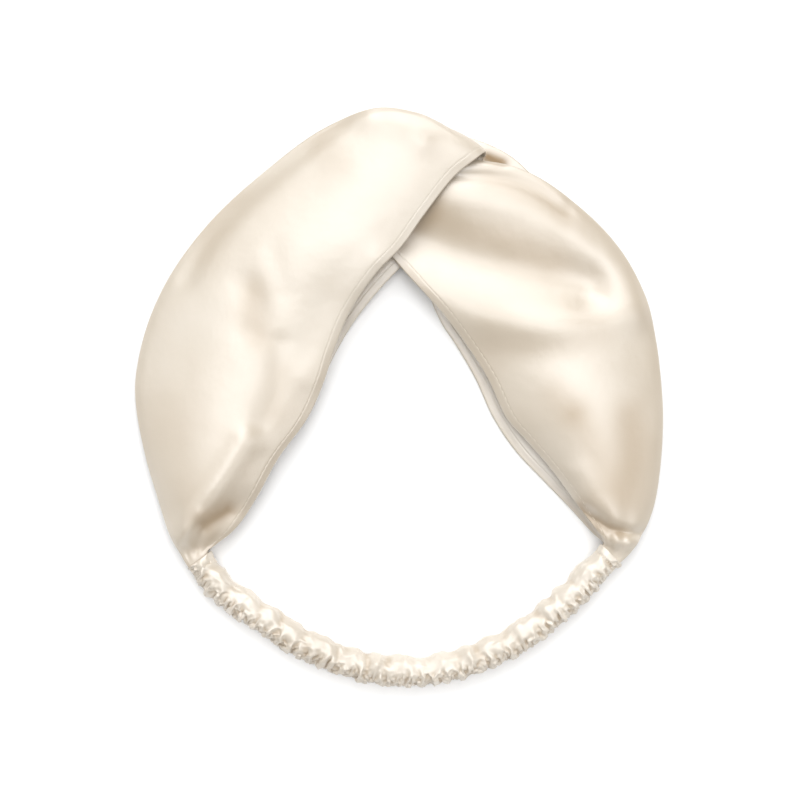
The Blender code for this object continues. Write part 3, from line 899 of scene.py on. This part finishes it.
casing_grid, casing_uv, casing_along, casing_painted_shade = casing_points()
casing = grid_object("elastic_casing_satin", casing_grid, lightened_ruched_satin, casing_uv, casing_painted_shade)
strap_grid, strap_uv = strap_points()
strap = grid_object("elastic_strap_knit", strap_grid, elastic, strap_uv, caps=True)
left_join = ring_stitches("left_join_stitches", casing_grid, casing_along, left=True)
right_join = ring_stitches("right_join_stitches", casing_grid, casing_along, left=False)
casing_seam = inner_seam("casing_seam_stitches")

for node in ("left_gather_thread", "right_gather_thread"):
    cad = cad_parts[node]
    cad.data.materials.clear()
    cad.data.materials.append(thread)

# ---------------------------------------------------------------- bodies

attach(left_band, "left_side")
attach(left_seam, "left_side")
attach(left_join, "left_side")
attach(right_join, "right_side")
for piece in (casing, strap, casing_seam):
    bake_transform(piece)
for piece in (right_band, right_seam):
    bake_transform(piece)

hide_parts("left_band")
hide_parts("left_band_seam_thread")
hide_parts("left_join_thread")
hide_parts("right_band")
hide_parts("right_band_seam_thread")
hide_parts("right_join_thread")
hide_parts("elastic_casing")
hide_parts("elastic_strap")
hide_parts("casing_seam_thread")

# ---------------------------------------------------------------- stage


def pale_floor():
    """A large sheet of white paper under the object."""
    made, nodes, links, shader = node_tree("paper")
    grain = nodes.new("ShaderNodeTexNoise")
    grain.inputs["Scale"].default_value = 40.0
    ramp = nodes.new("ShaderNodeValToRGB")
    ramp.color_ramp.elements[0].color = (0.93, 0.93, 0.93, 1)
    ramp.color_ramp.elements[1].color = (0.96, 0.96, 0.96, 1)
    links.new(grain.outputs["Fac"], ramp.inputs["Fac"])
    links.new(ramp.outputs["Color"], shader.inputs["Base Color"])
    shader.inputs["Roughness"].default_value = 0.9
    mesh = bpy.data.meshes.new("floor")
    mesh.from_pydata([(-3, -3, 0), (3, -3, 0), (3, 3, 0), (-3, 3, 0)], [], [(0, 1, 2, 3)])
    mesh.materials.append(made)
    floor = bpy.data.objects.new("floor", mesh)
    bpy.context.scene.collection.objects.link(floor)


def softbox(name, towards, spread, strength):
    """A far, wide soft light in the direction of towards; spread is its width in degrees."""
    data = bpy.data.lights.new(name, "SUN")
    data.angle = math.radians(spread)
    data.energy = strength
    lamp = bpy.data.objects.new(name, data)
    lamp.location = Vector(towards)
    lamp.rotation_euler = (-Vector(towards)).to_track_quat("-Z", "Y").to_euler()
    bpy.context.scene.collection.objects.link(lamp)


pale_floor()
softbox("key", (0.0, 1.10, 0.95), 46, 2.1)
softbox("top", (0.05, 0.12, 1.4), 40, 1.3)
softbox("right_fill", (0.75, -0.25, 0.95), 44, 0.75)
softbox("left_fill", (-0.85, 0.2, 0.9), 48, 0.6)
softbox("low_front", (0.0, -1.0, 0.42), 60, 0.4)
world = bpy.data.worlds.new("studio")
world.use_nodes = True
world.node_tree.nodes["Background"].inputs["Color"].default_value = (1, 1, 1, 1)
world.node_tree.nodes["Background"].inputs["Strength"].default_value = 0.20
bpy.context.scene.world = world

bpy.context.scene.view_settings.view_transform = "Standard"

camera = bpy.data.cameras.new("camera")
camera.lens = 85
camera.sensor_width = 36
view = bpy.data.objects.new("camera", camera)
view.location = (0, 0, 0.686)
bpy.context.scene.collection.objects.link(view)
bpy.context.scene.camera = view
